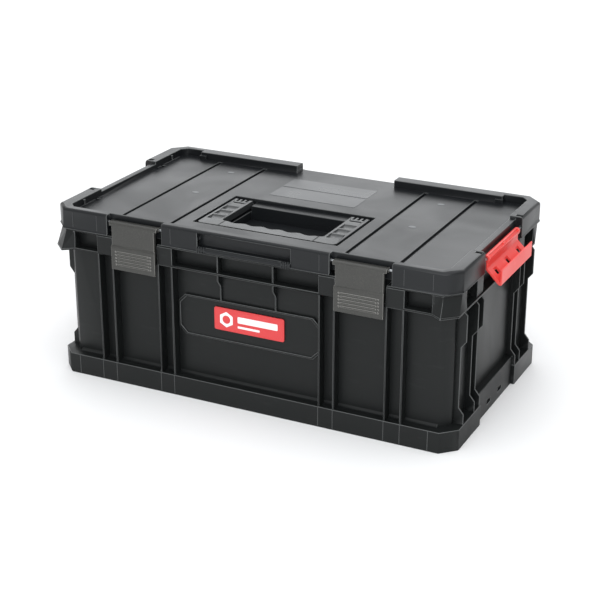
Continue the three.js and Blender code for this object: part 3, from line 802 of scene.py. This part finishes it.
@dataclass
class Badge:
    """The red badge on the label pad, with a plain nut and bars stamped on it. Millimetres."""

    finishes: Finishes
    centre: Point = (1.5, 107.25)
    size: Point = (92.0, 28.5)
    back: float = -136.5
    thick: float = 1.5

    def build(self) -> None:
        """Makes the plate, its raised border and its emblem."""
        (x, z), (w, h) = self.centre, self.size
        low, high = (x - w / 2, z - h / 2), (x + w / 2, z + h / 2)
        front = self.back - self.thick
        plate = sweep("badge_plate", rounded(low, high, 2.6), Axis.Y, front, self.back)
        inner = rounded((low[0] + 1.3, low[1] + 1.3), (high[0] - 1.3, high[1] - 1.3), 1.8)
        carve(plate, [sweep("field", inner, Axis.Y, front - 1, front + 0.35)], Carve.CUT)
        soften(plate, 0.22, 2)
        fit(plate, "box", self.finishes.badge)
        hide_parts("badge")
        fit(self.emblem(front + 0.35), "box", self.finishes.ink)

    def emblem(self, face: float) -> Object:
        """A hexagonal nut beside two plain bars, stamped in white.

        Args:
            face: Y of the plate's sunk field.

        Returns:
            The emblem.
        """
        x, z = self.centre
        cx, top = x - 30.0, face - 0.22
        outer = arc((cx, z), 9.8, 30, 330, 5)
        nut = sweep("badge_emblem", outer, Axis.Y, top, face + 0.1)
        bore = sweep("bore", arc((cx, z), 5.2, 0, 348.75, 31), Axis.Y, top - 1, face + 1)
        carve(nut, [bore], Carve.CUT)
        upper = rounded((x - 15.0, z - 1.6), (x + 37.5, z + 6.4), 1.2)
        lower = rounded((x - 15.0, z - 8.2), (x + 14.0, z - 5.4), 0.9)
        bars = [sweep("bar", bar, Axis.Y, top, face + 0.1) for bar in (upper, lower)]
        return soften(gather("badge_emblem", [nut, *bars]), 0.08, 1)


# ------------------------------------------------------------------ the lid
@dataclass
class Lid:
    """The lid: sunk panel, raised rim, handle recess and front window. Millimetres."""

    finishes: Finishes
    panel: float = 206.5
    face: float = 147.0
    edge: float = 0.8
    seam_xs: tuple[float, ...] = (96.0, 198.0, 232.0)
    sill_at: float = 193.2
    sill_radius: float = 2.9
    sill_half: float = 60.5
    overlap: float = 0.3
    stop_x: float = 209.0
    gates: tuple[Point, ...] = ((-147.0, 0.0), (147.0, 0.0), (-147.0, 92.0), (147.0, 92.0))

    def build(self) -> None:
        """Rounds the CAD lid's edges and adds what the mould leaves on it."""
        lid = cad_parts["lid"]
        round_outer_edges(lid, self.edge)
        dress(lid, self.finishes.lid, self.finishes.edge)
        fit(self.sill(), "lid", self.finishes.lid, self.finishes.soft_edge_highlight)
        seams = witness_lines(
            "lid_witness_lines",
            self.seam_xs,
            (self.face - 0.5, self.face + 0.18),
            (193.4, 212.2),
            0.1,
        )
        # The seams take the fainter pale edge finish all over: a painted highlight along each thin
        # ridge.
        fit(seams, "lid", self.finishes.soft_edge_highlight)
        fit(self.rim_steps(), "lid", self.finishes.lid, self.finishes.soft_edge_highlight)
        fit(self.patch(), "lid", self.finishes.patch)
        fit(self.gate_marks(), "lid", self.finishes.blush)

    def sill(self) -> Object:
        """The rolled sill of the front window, with fine ribs at each end."""
        y, z, r = 0.4 - self.face, self.sill_at, self.sill_radius
        outline = [(y + 3, z - r), *arc((y, z), r, -90, -270, 10), (y + 3, z + r)]
        roll = sweep("window_sill", outline, Axis.X, -self.sill_half, self.sill_half)
        ribs = [
            block("rib", (s * x - 0.5, -150.3, 190.0), (s * x + 0.5, -146.0, 197.4))
            for s in (-1, 1)
            for x in (50.0, 53.0, 56.0, 59.0)
        ]
        return soften(carve(roll, ribs, Carve.WELD), 0.3, 2)

    def rim_steps(self) -> Object:
        """A low step along the foot of each side rim, and locating blocks against it."""
        steps, low = [], self.panel - self.overlap
        for sign in (-1, 1):
            for y0, y1 in ((-121.0, -82.0), (-74.0, -66.0), (66.0, 74.0), (82.0, 121.0)):
                x0, x1 = sorted((sign * 241.8, sign * 245.0))
                steps.append(block("step", (x0, y0, low), (x1, y1, self.panel + 1.3)))
        for x in (-self.stop_x, self.stop_x):
            steps.append(block("stop", (x - 5, 126.2, low), (x + 5, 129.3, 212.0)))
        return soften(gather("rim_steps", steps), 0.45, 2)

    def patch(self) -> Object:
        """Two polished fields on the panel, one behind the other."""
        z0, z1 = self.panel - 0.2, self.panel + 0.22
        near = sweep("near", rounded((-60, 33), (57, 68.6), 2), Axis.Z, z0, z1)
        far = sweep("far", rounded((-60, 71.4), (57, 105), 2), Axis.Z, z0, z1)
        return soften(gather("polished_patch", [near, far]), 0.15, 1)

    def gate_marks(self) -> Object:
        """Flat ovals where the plastic was let into the mould."""
        marks = []
        for x, y in self.gates:
            oval = [(x + 4.6 * math.cos(a), y + 3.4 * math.sin(a)) for a in FULL_TURN]
            marks.append(sweep("gate", oval, Axis.Z, self.panel - 0.2, self.panel + 0.25))
        return soften(gather("gate_marks", marks), 0.12, 1)


@dataclass
class CarryHandle:
    """The folding handle: finger waves on the grip, scooped arms, combed hinge. Millimetres."""

    finishes: Finishes
    half: float = 91.0
    front: float = -94.5
    grip_rear: float = -76.0
    arm_inner: float = 67.0
    top: float = 206.0
    thick: float = 8.5
    axis: Point = (3.0, 199.0)
    barrel: float = 4.0
    waves: int = 5
    margin: float = 3.6
    scoop_ys: tuple[float, ...] = (-68.5, -50.5, -32.5)
    comb_xs: tuple[float, ...] = (73.0, 79.0, 85.0)

    def outline(self) -> list[Point]:
        """The U in plan, with the waves along its inner edge."""
        rear, inner = self.axis[0], self.arm_inner
        reach = inner - 7
        steps = self.waves * 12
        grip = []
        for i in range(steps + 1):
            x = reach - 2 * reach * i / steps
            swell = (1 - math.cos(math.tau * self.waves * i / steps)) / 2
            grip.append((x, self.grip_rear - 0.4 - 3.4 * swell))
        return [
            (self.half, rear),
            (inner, rear),
            *arc((inner - 4, self.grip_rear + 4), 4, 0, -90, 5),
            *grip,
            *arc((4 - inner, self.grip_rear + 4), 4, -90, -180, 5),
            (-inner, rear),
            (-self.half, rear),
            *arc((5 - self.half, self.front + 5), 5, 180, 270, 6),
            *arc((self.half - 5, self.front + 5), 5, 270, 360, 6),
        ]

    def trough(self, radius: float = 19.0, depth: float = 1.7) -> list[Point]:
        """Section of a thumb scoop: part of a wide circle that runs out at the surface."""
        lift = radius - depth
        reach = math.degrees(math.acos((lift - 0.4) / radius))
        return arc((0.0, lift), radius, 270 - reach, 270 + reach, 12)

    def cuts(self) -> list[Object]:
        """Everything sunk into the handle's top, and the bores of its barrels."""
        (y, z), inner, half = self.axis, self.arm_inner, self.half
        tools = []
        for s in (-1, 1):
            ends = sorted((s * (inner + self.margin), s * (half - self.margin)))
            for mid in self.scoop_ys:
                hollow = [(mid + dy, self.top + dz) for dy, dz in self.trough()]
                tools.append(sweep("scoop", hollow, Axis.X, *ends))
            slot = rounded((ends[0] + 1, y - 15.5), (ends[1] - 1, y - 12.5), 1.2)
            tools.append(sweep("slot", slot, Axis.Z, self.top - 3, self.top + 2))
            for x in self.comb_xs:
                tools.append(
                    block("comb", (s * x - 1.5, y - 8, 190), (s * x + 1.5, y + 6, 210))
                )
            seam = sorted((s * 61.6, s * 62.4))
            tools.append(block("seam", (seam[0], -96, self.top - 0.4), (seam[1], -70, 210)))
            bore = arc((y, z), PIN_BORE, 0, 345, 23)
            tools.append(sweep("bore", bore, Axis.X, *sorted((s * 60, s * 96))))
        return tools

    def build(self) -> None:
        """Makes the handle and stands it in for its CAD node."""
        grip = sweep("folding_handle", self.outline(), Axis.Z, self.top - self.thick, self.top)
        ring = arc(self.axis, self.barrel, 0, 350, 35)
        barrels = [
            sweep("barrel", ring, Axis.X, *sorted((s * self.arm_inner, s * self.half)))
            for s in (-1, 1)
        ]
        carve(grip, barrels, Carve.WELD)
        carve(grip, self.cuts(), Carve.CUT)
        soften(grip, 0.6, 2)
        fit(grip, "handle", self.finishes.handle, self.finishes.soft_edge_highlight)
        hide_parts("carry_handle")


@dataclass
class FrontLatch:
    """A draw latch: a plate curled over its pin, kicked out at the foot. Millimetres."""

    finishes: Finishes
    side: Side
    centre: float = 146.0
    width: float = 58.0
    axis: Point = (-142.3, 206.8)
    face: float = -150.0
    bottom: float = 150.5
    thick: float = 1.8
    barrel: float = 3.0
    barrel_half: float = 33.0
    bend: float = 3.2
    crown_overhang: float = 3.5
    kick_from: float = 181.5
    kick_out: float = 1.5

    def face_path(self) -> list[Point]:
        """The outer face from behind the pin, over the top and down the front."""
        top, bend, foot = self.axis[1] + self.barrel, self.bend, self.face - self.kick_out
        return [
            *arc(self.axis, self.barrel, 30, 90, 5),
            *arc((self.face + bend, top - bend), bend, 90, 180, 7),
            (self.face, 182.6),
            (self.face - 0.4, 181.2),
            (self.face - 1.3, 179.4),
            (foot, 178.0),
            (foot, self.bottom + 1.5),
            (self.face - 1.0, self.bottom),
        ]

    def grips(self, x0: float, x1: float) -> list[Object]:
        """Five raised lines with a pip at each end.

        Args:
            x0: the plate's left edge.
            x1: its right edge.

        Returns:
            The raised shapes.
        """
        face, made = self.face - self.kick_out, []
        for i in range(5):
            z = 157.4 + 4.0 * i
            bar = [(face + 0.5, z - 0.8), *arc((face, z), 0.75, 270, 90, 6), (face + 0.5, z + 0.8)]
            made.append(sweep("bar", bar, Axis.X, x0 + 7.5, x1 - 7.5))
            for x in (x0 + 5.2, x1 - 5.2):
                pip = arc((x, z), 1.0, 0, 330, 11)
                made.append(sweep("pip", pip, Axis.Y, face - 0.75, face + 0.5))
        return made

    def build(self) -> None:
        """Makes the latch and stands it in for its CAD node."""
        mid, (y, z) = self.side.value * self.centre, self.axis
        x0, x1 = mid - self.width / 2, mid + self.width / 2
        path = self.face_path()
        kick = next(i for i, point in enumerate(path) if point[1] < self.kick_from)
        # The crown is wider than the plate below it, and the two meet at a level joint.
        joint = (self.face, z - 1.8)
        turn = path.index((self.face, 182.6))
        crown = ribbon([*path[:turn], joint], self.thick)
        upper = ribbon([joint, *path[turn : kick + 1]], self.thick)
        lower = ribbon(path[kick:], self.thick)
        name = f"draw_latch_{self.side.word}"
        plate = sweep(name, upper, Axis.X, x0, x1)
        cheek = [
            (y, z + self.barrel - 0.8),
            (y - 2.2, z - 4.2),
            (self.face + 4.2, 171),
            (self.face + 2.0, self.bottom + 3),
            (self.face - 0.9, self.bottom + 1),
            (self.face - 0.9, 178),
            (self.face + 0.6, 183),
            (self.face + 0.6, z - 1.5),
            (self.face + 3.2, z + self.barrel - 0.7),
        ]
        hook = [(self.face, 152.6), (self.face, 159), (-141.6, 159), (-141.6, 157)]
        barrel = arc((y, z), self.barrel - 0.05, 0, 350, 35)
        parts = [
            sweep("crown", crown, Axis.X, x0 - self.crown_overhang, x1 + self.crown_overhang),
            sweep("foot", lower, Axis.X, x0 - 1, x1 + 1),
            sweep("cheek", cheek, Axis.X, x0 + 0.05, x0 + 1.7),
            sweep("cheek", cheek, Axis.X, x1 - 1.7, x1 - 0.05),
            sweep("hook", hook, Axis.X, x0 + 6, x1 - 6),
            sweep("barrel", barrel, Axis.X, mid - self.barrel_half, mid + self.barrel_half),
        ]
        carve(plate, [*parts, *self.grips(x0, x1)], Carve.WELD)
        bore = sweep("bore", arc((y, z), PIN_BORE, 0, 345, 23), Axis.X, mid - 40, mid + 40)
        carve(plate, [bore], Carve.CUT)
        soften(plate, 0.3, 2, 34)
        edge = self.finishes.latch_edge
        fit(plate, f"latch_{self.side.word}", self.finishes.latch, edge)
        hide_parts(f"latch_{self.side.word}")


@dataclass
class SideClip:
    """A red clip that swings up to hold a box stacked above. Millimetres.

    A plate hangs from the barrel and turns outward at its foot, and a lip stands up from
    there, so that the hook is an open V with three square holes in its inner face.
    """

    finishes: Finishes
    side: Side
    half: float = 53.0
    axis: Point = (258.0, 203.0)
    barrel: float = 4.0
    thick: float = 2.0
    kink: float = 190.0
    foot: Point = (274.4, 173.5)
    lip: Point = (277.5, 192.5)
    hole_ys: tuple[float, ...] = (-37.5, 0.0, 37.5)
    hole_x: float = 266.0
    hole: Point = (2.9, 5.0)
    core_spans: tuple[Point, ...] = ((-49.0, -2.4), (2.4, 49.0))

    def hand(self, points: Iterable[Point]) -> list[Point]:
        """Mirrors (x, z) points of the right clip onto this side."""
        return [(self.side.value * x, z) for x, z in points]

    def profile(self) -> list[Point]:
        """The plate, its turn, the round foot and the lip, from the end."""
        back, t = self.axis[0] - 0.4, self.thick
        (fx, fz), (lx, lz) = self.foot, self.lip
        return self.hand(
            [
                (back, self.axis[1]),
                (back, self.kink + 1.0),
                (back + 0.3, self.kink - 0.3),
                (fx - 0.8, fz + 0.5),
                *arc((fx + 1.3, fz + 1.7), 1.7, 235, 350, 6),
                (lx - 0.05, lz - 0.6),
                (lx - 0.5, lz),
                (lx - t + 0.6, lz),
                (lx - t + 0.1, lz - 0.6),
                (fx + 1.1, fz + 4.4),
                (fx + 0.4, fz + 4.0),
                (back + t + 0.7, self.kink + 1.3),
                (back + t, self.kink + 2.8),
                (back + t, 198.6),
                (back + t + 1.4, 199.6),
                (back + t + 1.4, self.axis[1]),
            ]
        )

    def build(self) -> None:
        """Makes the clip and stands it in for its CAD node."""
        s, half, (x, z) = self.side.value, self.half, self.axis
        hook = sweep(f"stacking_clip_{self.side.word}", self.profile(), Axis.Y, -half, half)
        centre = (s * x, z)
        barrel = sweep("barrel", arc(centre, self.barrel, 0, 350, 35), Axis.Y, -half, half)
        carve(hook, [barrel], Carve.WELD)
        # The barrel is cored by two long slots that face up and outward.
        slot = ((2.5, 0.3), (7.5, 5.3), (5.3, 7.5), (0.3, 2.5))
        core = self.hand((x + dx, z + dz) for dx, dz in slot)
        at, (dx, dy) = s * self.hole_x, self.hole
        tools = [
            block("hole", (at - dx, y - dy, 176), (at + dx, y + dy, 192)) for y in self.hole_ys
        ]
        tools += [sweep("core", core, Axis.Y, *span) for span in self.core_spans]
        bore = arc(centre, PIN_BORE, 0, 345, 23)
        tools.append(sweep("bore", bore, Axis.Y, -half - 1, half + 1))
        carve(hook, tools, Carve.CUT)
        soften(hook, 0.35, 2, 34)
        fit(hook, f"clip_{self.side.word}", self.finishes.red)
        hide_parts(f"clip_{self.side.word}")


@dataclass
class LiftOutTray:
    """The tray, its grip bar and two dividers, hung on ledges inside the box. Millimetres."""

    finishes: Finishes
    bar_low: float = 144.0
    rounds: tuple[tuple[str, float], ...] = (
        ("tray", 0.6),
        ("tray_grip", 0.8),
        ("divider_left", 0.4),
        ("divider_right", 0.4),
    )

    def build(self) -> None:
        """Rounds the CAD parts' edges and beads the underside of the grip bar."""
        for name, radius in self.rounds:
            part = soften(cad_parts[name], radius, 2)
            dress(part, self.finishes.tray, self.finishes.soft_edge_highlight)
            log.info("%s dressed", name)
        fit(self.finger_ribs(), "tray", self.finishes.tray)

    def finger_ribs(self) -> Object:
        """Fine ribs under the bar, one for each fingertip's width."""
        ribs = [
            block("rib", (x - 0.8, -4.2, self.bar_low - 0.8), (x + 0.8, 4.2, self.bar_low + 0.4))
            for x in range(-45, 46, 6)
        ]
        return soften(gather("tray_grip_ribs", ribs), 0.3, 2)


@dataclass
class Pins:
    """Steel pins that the lid, handle, latches and clips turn on."""

    finishes: Finishes

    def build(self) -> None:
        """Chamfers and dresses every pin in the frame."""
        for name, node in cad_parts.items():
            if "_pin_" in name:
                soften(node, 0.3, 2, 50)
                dress(node, self.finishes.steel)
                log.info("%s dressed", name)


# ------------------------------------------------------------------ studio
@dataclass
class Studio:
    """Pale floor, white surroundings and soft lights."""

    azimuth: float = 26.394
    elevation: float = 22.314
    camera_at: tuple[float, float, float] = (0.7578, -1.5279, 0.7868)
    lens: float = 88.67
    sky: float = 0.75
    tint: tuple[float, float, float] = (0.95, 0.975, 1.0)
    floor_radius: float = 7000.0

    def build(self) -> None:
        """Sets the floor, lights, surroundings and camera."""
        self.floor()
        self.surroundings()
        self.lamp("overhead", (0.2, -0.3, 2.6), (3.4, 3.0), 42.0)
        self.lamp("rear_softbox", (-1.0, 2.5, 1.35), (2.8, 1.7), 23.0)
        self.lamp("front_fill", (0.4, -1.3, 0.75), (1.0, 0.7), 8.0)
        self.camera()

    def floor(self) -> None:
        """A level floor under the box, far wider than the view."""
        r = self.floor_radius
        ring = [(r * math.cos(a), r * math.sin(a)) for a in FULL_TURN]
        ground = sweep("floor", ring, Axis.Z, -12.0, 0.0)
        dress(ground, FloorPaint().material())

    def surroundings(self) -> None:
        """A plain white room, lit evenly."""
        world = bpy.data.worlds.new("white room")
        world.use_nodes = True
        world.node_tree.nodes.clear()
        light = add_node(
            world.node_tree,
            "ShaderNodeBackground",
            {"Color": (1.0, 1.0, 1.0, 1.0), "Strength": self.sky},
        )
        add_node(
            world.node_tree, "ShaderNodeOutputWorld", {}, {"Surface": light.outputs["Background"]}
        )
        bpy.context.scene.world = world

    def lamp(self, name: str, at: Sequence[float], size: Point, watts: float) -> None:
        """Hangs one soft lamp that faces the box.

        Args:
            name: what it is for.
            at: where it hangs, in metres.
            size: its width and height, in metres.
            watts: its power.
        """
        light = bpy.data.lights.new(name, "AREA")
        light.shape, light.size, light.size_y, light.energy = "RECTANGLE", *size, watts
        light.color = self.tint
        made = bpy.data.objects.new(name, light)
        made.location = at
        aim = Vector((0, 0, 0.1)) - Vector(at)
        made.rotation_mode = "QUATERNION"
        made.rotation_quaternion = aim.to_track_quat("-Z", "Y")
        bpy.context.scene.collection.objects.link(made)

    def camera(self) -> None:
        """Stands the camera in front, above and to the right."""
        a, e = math.radians(self.azimuth), math.radians(self.elevation)
        back = Vector((math.sin(a) * math.cos(e), -math.cos(a) * math.cos(e), math.sin(e)))
        data = bpy.data.cameras.new("camera")
        data.lens, data.sensor_width = self.lens, 36.0
        made = bpy.data.objects.new("camera", data)
        made.location = self.camera_at
        made.rotation_mode = "QUATERNION"
        made.rotation_quaternion = (-back).to_track_quat("-Z", "Y")
        bpy.context.scene.collection.objects.link(made)
        bpy.context.scene.camera = made
        bpy.context.scene.view_settings.view_transform = "Standard"


def main() -> None:
    """Builds the toolbox piece by piece."""
    logging.basicConfig(level=logging.INFO, format="%(name)s: %(message)s")
    for name in ("Cube", "Light", "Camera"):
        stray = bpy.data.objects.get(name)
        if stray is not None:
            bpy.data.objects.remove(stray)
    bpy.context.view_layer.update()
    finishes = Finishes()
    for sub_assembly in (
        BoxBody(finishes),
        Badge(finishes),
        Lid(finishes),
        CarryHandle(finishes),
        *(FrontLatch(finishes, side) for side in Side),
        *(SideClip(finishes, side) for side in Side),
        LiftOutTray(finishes),
        Pins(finishes),
        Studio(),
    ):
        log.info("building %s", type(sub_assembly).__name__)
        sub_assembly.build()


if __name__ == "__main__":
    main()
